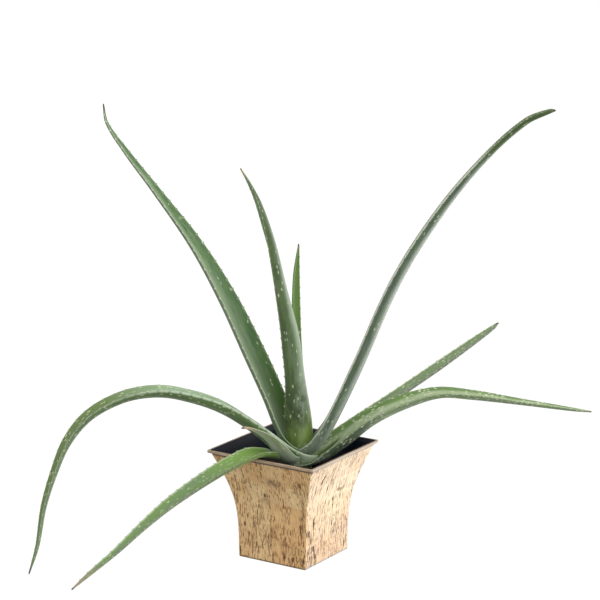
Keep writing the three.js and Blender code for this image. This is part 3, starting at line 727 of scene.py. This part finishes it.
# %% Leaf rows
LEAVES = {
    "leaf_young_centre": dict(azimuth=165, teeth_from=120, tooth=0.6, rows=[
        (0, 112, 10, 6.5, 2), (1, 120, 14, 8, 3), (3, 150, 14, 7.5, 3), (6, 190, 13.5, 7, 3),
        (9, 235, 12, 6, 2.7), (9.5, 270, 10.5, 5, 2.3), (8.5, 305, 8, 3.8, 1.5), (4, 337, 1.4, 1.2, 0.2)]),
    "leaf_upright_front": dict(azimuth=255, roll=(75, 170), teeth_from=24, rows=[
        (-2, 112, 18, 9, 4), (-1.5, 120, 27, 13, 7.5), (-1, 131, 32, 15, 9.5), (0.5, 152, 32, 15, 10),
        (5, 192.5, 26, 13, 8), (12.5, 240.5, 26.5, 13, 8), (26, 290.5, 22.5, 10.5, 6.5),
        (42, 346, 19, 9, 6), (57, 386, 11, 5.5, 3.5), (70, 409, 5.5, 2.7, 1.5), (82, 426, 1.4, 1.2, 0.2)]),
    "leaf_upright_right": dict(azimuth=25, teeth_from=42, rows=[
        (-5, 112, 22, 9, 5), (1.5, 113.5, 28, 12, 8), (9, 117, 30, 14, 9.5), (17, 124, 30, 14, 9),
        (31, 146, 27, 12.5, 8), (60, 209, 26, 12.5, 7.5), (100, 302, 24, 11.5, 6.5),
        (147, 379, 20, 9.5, 5.5), (193, 436, 15, 7, 4.5), (230, 470, 13, 6.5, 4),
        (254, 481, 6.5, 4.5, 1.5), (260, 482, 1.8, 1.4, 0.2)]),
    "leaf_upright_left": dict(azimuth=185, teeth_from=42, rows=[
        (-6, 113, 22, 9, 5), (1, 116.5, 30, 11, 7), (8.2, 120.5, 34, 13, 9), (19, 132.5, 37, 13.5, 9.5),
        (37, 170, 37, 12.5, 9), (60, 213, 37, 12, 8.5), (92, 270, 31, 10.5, 7), (130, 325, 22, 8.5, 5.5),
        (177, 378, 13, 6, 3), (215, 419, 8, 4.5, 2), (238, 448, 3.5, 2.8, 0.6), (242, 469, 1.4, 1.2, 0.2)]),
    "leaf_back_right": dict(azimuth=68, teeth_from=40, tooth=0.9, rows=[
        (4, 102, 18, 10, 5), (14, 107, 28, 12, 8), (31, 114, 23, 9, 5.5), (58, 126, 19, 8, 4.5),
        (91, 140, 17, 7, 4), (126, 154, 16, 6.5, 3.5), (187, 179, 15, 6.5, 3.5), (233, 199, 11, 5.5, 2.5),
        (262, 212, 6, 4, 1), (270, 217, 1.6, 1.3, 0.2)]),
    "leaf_arching_left": dict(azimuth=235, teeth_from=60, rows=[
        (-14, 105, 26, 11, 7), (-6, 105.5, 34, 14, 10), (3, 107, 38, 16, 11.5), (12, 111, 38, 16, 11.5),
        (24, 119.5, 36, 15, 11), (50, 142.5, 29, 12.5, 8), (91, 171, 29, 12, 7.5), (136, 189, 25, 11, 6),
        (167, 194, 23, 10, 6), (200, 190, 21, 9, 5), (233, 175, 18, 8.5, 4.5), (256, 150, 14.5, 7.5, 3.5),
        (270, 120, 12, 6, 3), (282, 85, 8.5, 5, 2), (290, 44, 5.5, 3.5, 1), (300, 15, 1.4, 1.2, 0.2)]),
    "leaf_low_right": dict(azimuth=43, roll=(5, 5), teeth_from=60, rows=[
        (-14, 102.5, 30, 6, 3.5), (-4, 101.8, 38, 6, 4), (5, 103, 40, 7.5, 5), (14, 105.8, 39, 11, 8),
        (24, 111, 38, 15, 11), (42, 121.5, 34, 15, 10), (78, 146, 29, 13, 8), (114, 161, 26, 11, 7),
        (150, 169, 22, 8.5, 6), (187, 165, 18, 8, 4.5), (242, 155, 11.5, 5.5, 2.5), (301, 144, 5, 3.2, 1),
        (320, 141, 1.4, 1.2, 0.2)]),
    "leaf_short_withered": dict(azimuth=272, teeth_from=52, tooth=0.5, rows=[
        (8, 108, 14, 6, 3.5), (18, 109, 19, 7.5, 4.5), (29, 112, 21, 9, 6), (38, 118.5, 20, 9.5, 6.5),
        (48, 128, 18, 9, 6), (61, 140, 14, 6.5, 4), (77, 150.5, 10, 5, 2.5), (92, 158.5, 6.5, 3.5, 1),
        (106, 164.5, 3.5, 2.5, 0.5), (117, 167, 1.6, 1.3, 0.2)]),
    "leaf_drooping_left": dict(azimuth=260, teeth_from=50, rows=[
        (10, 102, 18, 9, 4), (22, 108, 24, 11, 6), (35, 115, 25, 10, 5.5), (47, 120, 25, 9, 5.5),
        (68, 125, 25, 8.5, 5), (89, 123.5, 24, 9, 5), (130, 116, 21, 8.5, 4.5), (188, 100, 16.5, 7, 4),
        (227, 85, 12, 5.5, 2.5), (264, 68, 8, 4.5, 1.5), (302, 53, 5, 3, 1), (324, 44, 1.4, 1.2, 0.2)]),
}

# %% [markdown]
# The teeth are hooked points of the margin itself, about 2 mm high and 11.5 mm apart, leaning towards
# the tip. They could be separate cones. Here the margin runs out into each one, so a leaf stays one
# closed skin: a tooth is a profile of how far the margin stands out, and extra rings are placed where
# that profile bends.

# %% Teeth along a margin
TOOTH_SPACING = 11.5
TOOTH_HEIGHT = 2.3
TOOTH_LEAN = 1.3
TOOTH_PLACE = {1: 0.3, -1: 0.7}
TOOTH_CURVE = 2.2
TOOTH_RINGS = (-2.4, -1.6, -0.8, 0.0, 0.7, TOOTH_LEAN, 1.45, 1.65)
RING_STEP = 2.0


def leaf_marks(rows):
    return np.concatenate([[0], np.cumsum([math.dist(a[:2], b[:2]) for a, b in zip(rows, rows[1:])])])


def leaf_teeth(leaf):
    """Place, size and side of each tooth."""
    marks = leaf_marks(leaf["rows"])
    steps = round(marks[-1] / TOOTH_SPACING)
    spacing = marks[-1] / steps
    teeth = []
    for k in range(steps - 1):
        if k * spacing < leaf["teeth_from"]:
            continue
        width = smooth_rows(leaf["rows"], marks, k * spacing)[0, 2]
        for side in (-1, 1):
            size = leaf.get("tooth", 1) * min(1, 0.45 + width / 22)
            teeth.append(((k + TOOTH_PLACE[side]) * spacing, size, side))
    return teeth


def stand_out(at, teeth, side):
    """How far the margin on one side stands out at each distance along the leaf."""
    out = np.zeros_like(at)
    for centre, size, its_side in teeth:
        if its_side != side:
            continue
        t = (at - centre) / size
        rise = np.clip((t - TOOTH_RINGS[0]) / (TOOTH_LEAN - TOOTH_RINGS[0]), 0, 1) ** TOOTH_CURVE
        fall = np.clip((TOOTH_RINGS[-1] - t) / (TOOTH_RINGS[-1] - TOOTH_LEAN), 0, 1)
        out += TOOTH_HEIGHT * size * np.where(t <= TOOTH_LEAN, rise, fall)
    return out


# %% Rings along a leaf
TIP_ROUNDING = 1.5
TIP_SHARES = (0.02, 0.1, 0.25, 0.5, 0.75, 1)
RING_GAP = 0.04


def leaf_stations(leaf, teeth):
    length = leaf_marks(leaf["rows"])[-1]
    at = list(np.linspace(0, length, round(length / RING_STEP) + 1))
    at += [length - TIP_ROUNDING * share for share in TIP_SHARES]
    for centre, size, _ in teeth:
        at += [centre + size * offset for offset in TOOTH_RINGS]
    at = np.unique(np.round(at, 3))
    return at[np.concatenate([[True], np.diff(at) > RING_GAP])]


# %% The curve of a leaf
UP = np.array([0, 0, 1])
SLOPE_REACH = 0.5


def leaf_curve(leaf, at):
    """The middle of each section of a leaf, its way across, and the way that its inner face looks."""
    rows, marks = leaf["rows"], leaf_marks(leaf["rows"])
    reach, height = smooth_rows(rows, marks, at)[:, :2].T[:, :, None]
    ahead = smooth_rows(rows, marks, np.minimum(at + SLOPE_REACH, marks[-1]))
    behind = smooth_rows(rows, marks, np.maximum(at - SLOPE_REACH, 0))
    slope = ahead[:, :2] - behind[:, :2]
    slope /= np.linalg.norm(slope, axis=1, keepdims=True)
    azimuth = math.radians(leaf["azimuth"])
    outward = np.array([math.cos(azimuth), math.sin(azimuth), 0])
    level = np.array([-math.sin(azimuth), math.cos(azimuth), 0])
    along = slope[:, :1] * outward + slope[:, 1:] * UP
    roll = np.radians(np.interp(at, (0, marks[-1]), leaf.get("roll", (0, 0))))[:, None]
    across = np.cos(roll) * level + np.sin(roll) * np.cross(along, level)
    middle = np.array([AXIS_X, AXIS_Y, 0]) + reach * outward + height * UP
    return middle, across, np.cross(along, across)


# %% Leaf mesh
UNDERSIDE_POINTS = 24
FACE_POINTS = 18
FACE_POWER = 0.75
SKIN_WAVES = 0.02
TOOTH_FOOT_ACROSS = 0.7
TOOTH_FOOT_DEEP = 0.9
HORN_REACH = 2.2
SPECK_REACH = 4.5


def leaf_mesh(leaf, seed):
    """Points and faces of a leaf, the fields that its finish reads, and its length."""
    marks = leaf_marks(leaf["rows"])
    teeth = leaf_teeth(leaf)
    at = leaf_stations(leaf, teeth)
    width, depth, hollow = smooth_rows(leaf["rows"], marks, at)[:, 2:].T[:, :, None]
    middle, across, face = leaf_curve(leaf, at)

    under_angle = np.pi * np.arange(UNDERSIDE_POINTS) / UNDERSIDE_POINTS
    face_angle = np.pi * np.arange(FACE_POINTS) / FACE_POINTS
    u = np.concatenate([-np.cos(under_angle), np.cos(face_angle)])
    is_under = np.arange(len(u)) < UNDERSIDE_POINTS
    under = np.concatenate([np.sin(under_angle), np.zeros(FACE_POINTS)])
    over = np.where(is_under, 0, (1 - u ** 2).clip(0) ** FACE_POWER)

    tip = np.clip((marks[-1] - at) / TIP_ROUNDING, 0, 1)
    tip = np.sqrt(np.clip(1 - (1 - tip) ** 2, 0.02, 1))[:, None]
    x = u * width / 2 * tip
    y = (depth / 2 - under * depth - over * hollow) * tip
    y = y * (1 + SKIN_WAVES * wander(at[:, None] + 0 * u, is_under * 40 + u * 6, 23, 5, seed))
    near_margin = np.exp(-((1 - np.abs(u)) * width / 2 / TOOTH_FOOT_ACROSS) ** 2)
    near_margin *= np.exp(-((under * depth + over * hollow) / TOOTH_FOOT_DEEP) ** 2)
    out = np.where(u < 0, stand_out(at, teeth, -1)[:, None], stand_out(at, teeth, 1)[:, None])
    x = x + np.sign(u) * near_margin * out
    points, faces = tube(middle[:, None] + x[:, :, None] * across[:, None] + y[:, :, None] * face[:, None])

    section = np.stack([x, y], axis=2)
    steps = np.linalg.norm(np.diff(section, axis=1, append=section[:, :1]), axis=2)
    run = np.cumsum(steps, axis=1) - steps
    under_run = run[:, UNDERSIDE_POINTS:UNDERSIDE_POINTS + 1]
    face_run = run[:, -1:] + steps[:, -1:] - under_run
    from_margin = np.where(is_under, np.minimum(run, under_run - run),
                           np.minimum(run - under_run, under_run + face_run - run))
    across_run = np.where(is_under, run - under_run / 2, under_run + face_run / 2 - run)
    place = np.stack([across_run, at[:, None] + 0 * run, is_under + 0 * run], axis=2).reshape(-1, 3)
    fields = {"leaf_place": np.vstack([place, [[0, 0, 1], [0, marks[-1], 1]]])}
    for field, values, at_ends in (
            ("margin", from_margin - 0.8 * out * near_margin, 5),
            ("tooth", out / TOOTH_HEIGHT * np.exp(-(from_margin / HORN_REACH) ** 2), 0),
            ("speck", out / TOOTH_HEIGHT * np.exp(-(from_margin / SPECK_REACH) ** 2), 0),
            ("share", u + 0 * run, 0)):
        fields["leaf_" + field] = np.append(values, [at_ends, at_ends])
    return points, faces, fields, marks[-1]


# %% [markdown]
# The skin of an aloe leaf is green flesh under a waxy bloom. The bloom is grey-green and lies in long
# uneven streaks. Where it is thin, near the margins, the darker green shows, and the same darker green
# is painted as shade on the side of some leaves turned from the light. The sheath at the base is
# yellow-green where it kept out of the light, and pale flecks run along the leaf. The margin is a thin
# pale line with whitish teeth, and the tip dries to brown. All of it is placed by the fields on the
# mesh, in millimetres across and along the leaf and away from its margin. Each noise below has its size
# across and along the leaf, how far apart the two faces of the leaf lie in it, its detail and its
# roughness.

# %% Noise on a leaf
LEAF_NOISES = {
    "fibre": (1.3, 60, 7, 3, 0.6), "streak": (5, 45, 5, 4, 0.6), "mottle": (7, 13, 3, 5, 0.65),
    "lush": (4.5, 32, 11, 3, 0.55), "bands": (14, 15, 3, 2, 0.5),
}
UNEVEN = (("streak", 1.3), ("fibre", 0.5), ("mottle", 0.35))
UNEVEN_MEAN = 1.07


def leaf_noise(add, place):
    """Every noise, and a sum of some that lies round zero and frays what it is added to."""
    noise = {}
    for kind, (across_mm, along_mm, apart, detail, roughness) in LEAF_NOISES.items():
        cells = add("VectorMath", [place, (1 / across_mm, 1 / along_mm, apart)], operation="MULTIPLY")
        noise[kind] = add("TexNoise", {
            "Vector": cells, "Scale": 1.0, "Detail": detail, "Roughness": roughness})
    uneven = -UNEVEN_MEAN
    for kind, weight in UNEVEN:
        uneven = add("Math", [noise[kind], weight, uneven], operation="MULTIPLY_ADD")
    return noise, uneven


# %% Bloom over green
EDGE_SHARES = (0.45, 0.85)


def leaf_skin(add, look, side, share, uneven):
    """The colour of one side of a leaf: its bloom, with the darker green painted as shade on the part
    turned from the light, and showing where the bloom is thin near the margins.
    """
    # painted shade: between these two shares the darker green is laid over the side turned from the light
    start, end = look[side + "_shaded"]
    shade_and_thin_bloom = add("MapRange", {"Value": share, "From Min": start, "From Max": end},
               interpolation_type="SMOOTHSTEP")
    from_middle = add("Math", [share], operation="ABSOLUTE")
    near_edge = add("MapRange", {
        "Value": from_middle, "From Min": EDGE_SHARES[0], "From Max": EDGE_SHARES[1],
        "To Max": look[side + "_edge"]}, interpolation_type="SMOOTHSTEP")
    shade_and_thin_bloom = add("Math", [shade_and_thin_bloom, near_edge], operation="MAXIMUM")
    shade_and_thin_bloom = add("Math", [shade_and_thin_bloom, uneven], operation="ADD", use_clamp=True)
    return coated(add, look[side], [(look[side + "_dark"], shade_and_thin_bloom)])


# %% Flecks
FLECK_CELL = (1 / 2.3, 1 / 6.5, 9)


def leaf_flecks(add, place, crowd):
    """Pale flecks, at most one in a cell, each of its own strength."""
    cells = add("VectorMath", [place, FLECK_CELL], operation="MULTIPLY")
    distance, chance = [add("TexVoronoi", {"Vector": cells, "Scale": 1.0}, part, voronoi_dimensions="2D")
                        for part in ("Distance", "Color")]
    chance, strength = [add("SeparateXYZ", [chance], axis) for axis in "XY"]
    fleck = (distance, 0.36, 0.16, 0, 1)
    for part in (add("Math", [chance, crowd], operation="LESS_THAN"), (strength, 0, 1, 0.35, 0.9)):
        fleck = add("Math", [fleck, part], operation="MULTIPLY")
    return fleck


# %% Leaf finish
LINE_FROM_MARGIN = 1.7
RAGGED = 14.0


def leaf_finish(name, length, look):
    material, add = new_material(name)
    place = add("Attribute", out="Vector", attribute_name="leaf_place")
    margin, tooth, speck, share = [add("Attribute", out="Fac", attribute_name="leaf_" + field)
                                   for field in ("margin", "tooth", "speck", "share")]
    along, is_under = [add("SeparateXYZ", [place], axis) for axis in "YZ"]
    is_face = add("Math", [1.0, is_under], operation="SUBTRACT")
    shifted = add("VectorMath", [place, (look["shift"], 0, 0)], operation="ADD")
    noise, uneven = leaf_noise(add, shifted)
    skins = [leaf_skin(add, look, side, share, uneven) for side in ("face", "under")]
    far = add("MapRange", {"Value": along, "From Min": look["far_from"], "From Max": look["far_to"],
                           "To Max": 0.9}, interpolation_type="SMOOTHSTEP")
    base = add("MapRange", {"Value": along, "From Min": look["base_from"], "From Max": look["base_to"],
                            "To Min": look["base_share"], "To Max": 0.0}, interpolation_type="SMOOTHSTEP")
    fleck = leaf_flecks(add, shifted, (noise["bands"], 0.38, 0.62, 0.05, look["flecks"]))
    line = add("Math", [margin, LINE_FROM_MARGIN], operation="SUBTRACT")
    line = add("Math", [line], operation="ABSOLUTE")
    ragged = add("Math", [noise["streak"], RAGGED, along], operation="MULTIPLY_ADD")
    dry_end = length + RAGGED / 2
    colour = coated(add, skins[0], [
        (skins[1], is_under),
        # lusher patches, and the greener outer part that two of the leaves have
        ("#6a8f3e", (noise["lush"], 0.42, 0.62, 0, look["lush"])),
        (look["far"], far, (is_face, 0, 1, *look["far_faces"]), (share, 0.1, 0.8, 1, 0.3)),
        # painted shade on the underside low down, the sheath, its grey root, and dark blotches above it
        ("#35472f", (along, look["deep"], look["deep"] * 0.75, 0, 0.85), is_under),
        # the sheath colour, laid fully on the side turned from the light; where it is dark, as on the
        # upright left leaf, that is painted shade
        (look["base"], base, (share, *look["base_shaded"], 1, 0.35)),
        ("#98a592", (along, 30, 44, look["root"], 0)),
        ("#2f3d22", (noise["mottle"], 0.38, 0.56, 0, look["blotch"]), (along, 20, 38, 0, 1),
         (along, 92, 60, 0, 1), (share, 0.45, -0.1, 0.3, 1)),
        (look["fleck"], fleck),
        # the dark line under the margin, the pale margin, its teeth, and the pale skin beside them
        (look["line_tone"], (line, 1.1, 0.5, 0, look["line"]), is_under),
        (look["margin"], (margin, look["rim_wide"], look["rim_wide"] * 0.5, 0, look["rim"]),
         (is_face, 0, 1, look["rim_under"], 1), (along, length - 60, length - 15, 1, 0.25),
         (along, 25, 60, 0.3, 1), (share, -0.5, 0.5, *look["rim_share"]), (far, 0, 1, 1, 0.15)),
        # whitish teeth; where a leaf sets one margin's horn low, its teeth there stay less pale as painted
        # shade
        ("#e2e6d2", (tooth, *look["horn_from"], 0, (share, -0.5, 0.5, *look["horn"]))),
        ("#f0f2dc", (speck, 0.12, 0.4, 0, look["speck"]), is_face, (share, 0.3, 0.6, 0, 1)),
        # the dry tip and its dark point
        (look["tip"], (ragged, dry_end - look["dry"], dry_end - look["dry"] * 0.3, 0, 1)),
        ("#4a3f3c", (along, length - look["point"], length - look["point"] * 0.4, 0, 1)),
    ])
    relief = add("Math", [noise["fibre"], 0.5, fleck], operation="MULTIPLY_ADD")
    surfaced(add, colour, {
        "Roughness": (uneven, -0.3, 0.3, 0.54, 0.38), "IOR": 1.45,
        "Subsurface Weight": 0.12, "Subsurface Radius": (1.0, 1.4, 0.5), "Subsurface Scale": 2.0 * MM,
        "Sheen Weight": 0.12, "Sheen Roughness": 0.4, "Sheen Tint": "#e8f2ea",
    }, relief=relief, strength=0.35, depth=0.25)
    return material


# %% [markdown]
# The leaves of one plant differ, so a look says what a leaf changes from the common look. A share runs
# across the leaf from -1 at one margin to 1 at the other, and a place along it is in millimetres.
# The bloom is face on the inner side and under below, and the green beneath it is _dark. That green is
# painted as shade on the side turned from the light, from one share to another (_shaded, where 2 to 3 is
# nowhere), and it shows where the bloom is thin near both margins (_edge). The sheath is base, faded out
# from base_from to base_to and weaker over base_shaded, towards the lit side. Deep is how far up the
# underside painted shade reaches, and far is the tone of the outer part, with its amounts on the
# underside and the inner face.
# Blotch, lush, root, flecks, line and speck are amounts of what their names say. A rim is the pale
# margin: its amount, its width, its amount below, and its amount at each margin. Horn is how pale the
# teeth are at each margin, and from which share of their height; a margin in shade keeps its teeth less
# pale, as painted shade. Dry and point are the lengths of the dry tip and of its dark end. Each leaf also
# reads its noise at a place of its own.

# %% How each leaf differs
COMMON_LOOK = dict(
    face="#879a7c", face_dark="#4a6a41", face_shaded=(2, 3), face_edge=0.3,
    under="#8a988a", under_dark="#4b5f48", under_shaded=(2, 3), under_edge=0.8,
    base="#6f883c", base_share=0.8, base_from=15, base_to=60, base_shaded=(2, 3), root=0, deep=0.1,
    far="#5b7136", far_from=900, far_to=901, far_faces=(0, 1), lush=0.25, blotch=0,
    fleck="#ccd6b0", flecks=0.15, line=0.4, line_tone="#4a4450",
    margin="#cdd5b6", rim=0.7, rim_wide=1.3, rim_under=0.4, rim_share=(1, 1),
    horn=(0.9, 0.9), horn_from=(0.3, 0.6), speck=0, dry=8, tip="#8a7a5c", point=4)
# A leaf that darkens one side of its face or underside has painted shade there, on the side turned from the
# light.
LOOKS = {
    "leaf_young_centre": dict(
        face="#5d7d38", face_dark="#44632a", under="#5d7d38", under_dark="#44632a", under_edge=0.4,
        base="#5d7d38", flecks=0, line=0, rim=0.3, dry=9, point=3),
    # Its underside darkens on the side turned from the light as painted shade, and its teeth on that margin
    # are less pale for the same reason.
    "leaf_upright_front": dict(
        under="#8b9c85", under_dark="#475938", under_shaded=(-0.05, -0.8), under_edge=0, base="#8aa540",
        base_share=0.9, base_from=12, base_to=62, base_shaded=(0.3, -0.5), blotch=0.8, lush=0.2,
        flecks=0.1, line=0, rim_share=(1, 0.3), horn=(0.5, 0.9), dry=16, tip="#a39a72", point=2),
    # Its underside darkens towards one margin, partly where the bloom is thin and partly as painted shade.
    "leaf_upright_right": dict(
        face="#7c8a79", face_dark="#5f6f5c", under="#99a398", under_dark="#4c5c4c",
        under_shaded=(-0.45, -0.98), under_edge=0, base="#8b9a86", base_share=0.5, lush=0.15, flecks=0.1,
        margin="#d4d7c8", rim=0.8, rim_wide=2.4, rim_under=1.0, rim_share=(1, 0.4), line=0,
        far="#43592a", far_from=362, far_to=398, far_faces=(1, 1), dry=5),
    "leaf_upright_left": dict(
        # The face darkens towards one margin as painted shade, and the dark sheath colour and the less pale
        # teeth on that side are painted shade too.
        face="#90a386", face_dark="#416536", face_shaded=(0.5, -0.85), face_edge=0.1, under="#84927f",
        under_dark="#6c7a66", under_edge=1, base="#3f5e1c", base_share=0.95, base_from=40, base_to=140,
        base_shaded=(-0.6, 0.1), lush=0.2, flecks=0.05, margin="#b4c4a6", rim=0.8, rim_wide=2.4,
        rim_under=0.8, rim_share=(0.12, 1), line=0.6, line_tone="#3f5530", horn=(0.2, 1.0),
        horn_from=(0.05, 0.25), speck=1, dry=6, point=12),
    "leaf_back_right": dict(
        face="#77896a", face_dark="#4b6139", under="#69795b", under_dark="#435340", lush=0.35,
        flecks=0.45, line=0.6, dry=7, tip="#7a6a55"),
    # Its pale sheath colour, base, is painted light on the low base, which stands in the shade of the leaf
    # in front and of the lip.
    "leaf_arching_left": dict(
        face="#a1b59c", face_dark="#74936a", under="#7b8d70", under_dark="#4f663c", base="#b6c4aa",
        base_from=16, base_to=32, far_from=170, far_to=260, flecks=0.42, margin="#bccdb3", rim=0.9,
        rim_wide=3.2, rim_under=1.0, rim_share=(0.1, 1), line=0.2, dry=12, tip="#6f6a5c", point=10),
    # Its underside is darkened up to deep as painted shade near the pot, and its face darkens at one margin
    # as painted shade.
    "leaf_low_right": dict(
        face="#a6b593", face_dark="#5d7a42", face_shaded=(0.55, 0.9), face_edge=0, under="#a0ad90",
        under_dark="#6d7f62", base="#8b9b80", deep=115, lush=0.35, fleck="#d6dcc0", flecks=0.95,
        rim=0.5, rim_share=(1, 0.1), line=0),
    "leaf_short_withered": dict(
        face="#b0bba7", face_dark="#7e8c62", under="#aab5a3", under_dark="#7b8763", base="#9aa693",
        flecks=0.06, line=0.2, dry=30, tip="#bba684", point=7),
    "leaf_drooping_left": dict(
        face="#6f8760", face_dark="#507046", under="#8c9883", under_dark="#5d6a50", base="#7d9f4e",
        base_share=0.95, base_from=70, base_to=150, lush=0.65, flecks=0.25, margin="#b5c4a4", rim=0.6,
        rim_wide=2.0, rim_under=0.2, rim_share=(1, 0.35), line=0.45, root=0.9, dry=40, tip="#93896f"),
}

# %% Grow the leaves
LEAF_SEED = 50
SHIFT = 60.0

for number, (name, leaf) in enumerate(LEAVES.items()):
    points, faces, fields, length = leaf_mesh(leaf, LEAF_SEED + number)
    look = {**COMMON_LOOK, **LOOKS[name], "shift": SHIFT * number}
    finish = leaf_finish("waxy_" + name, length, look)
    piece = add_piece("grown_" + name, points, faces, finish, fields)
    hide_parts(name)
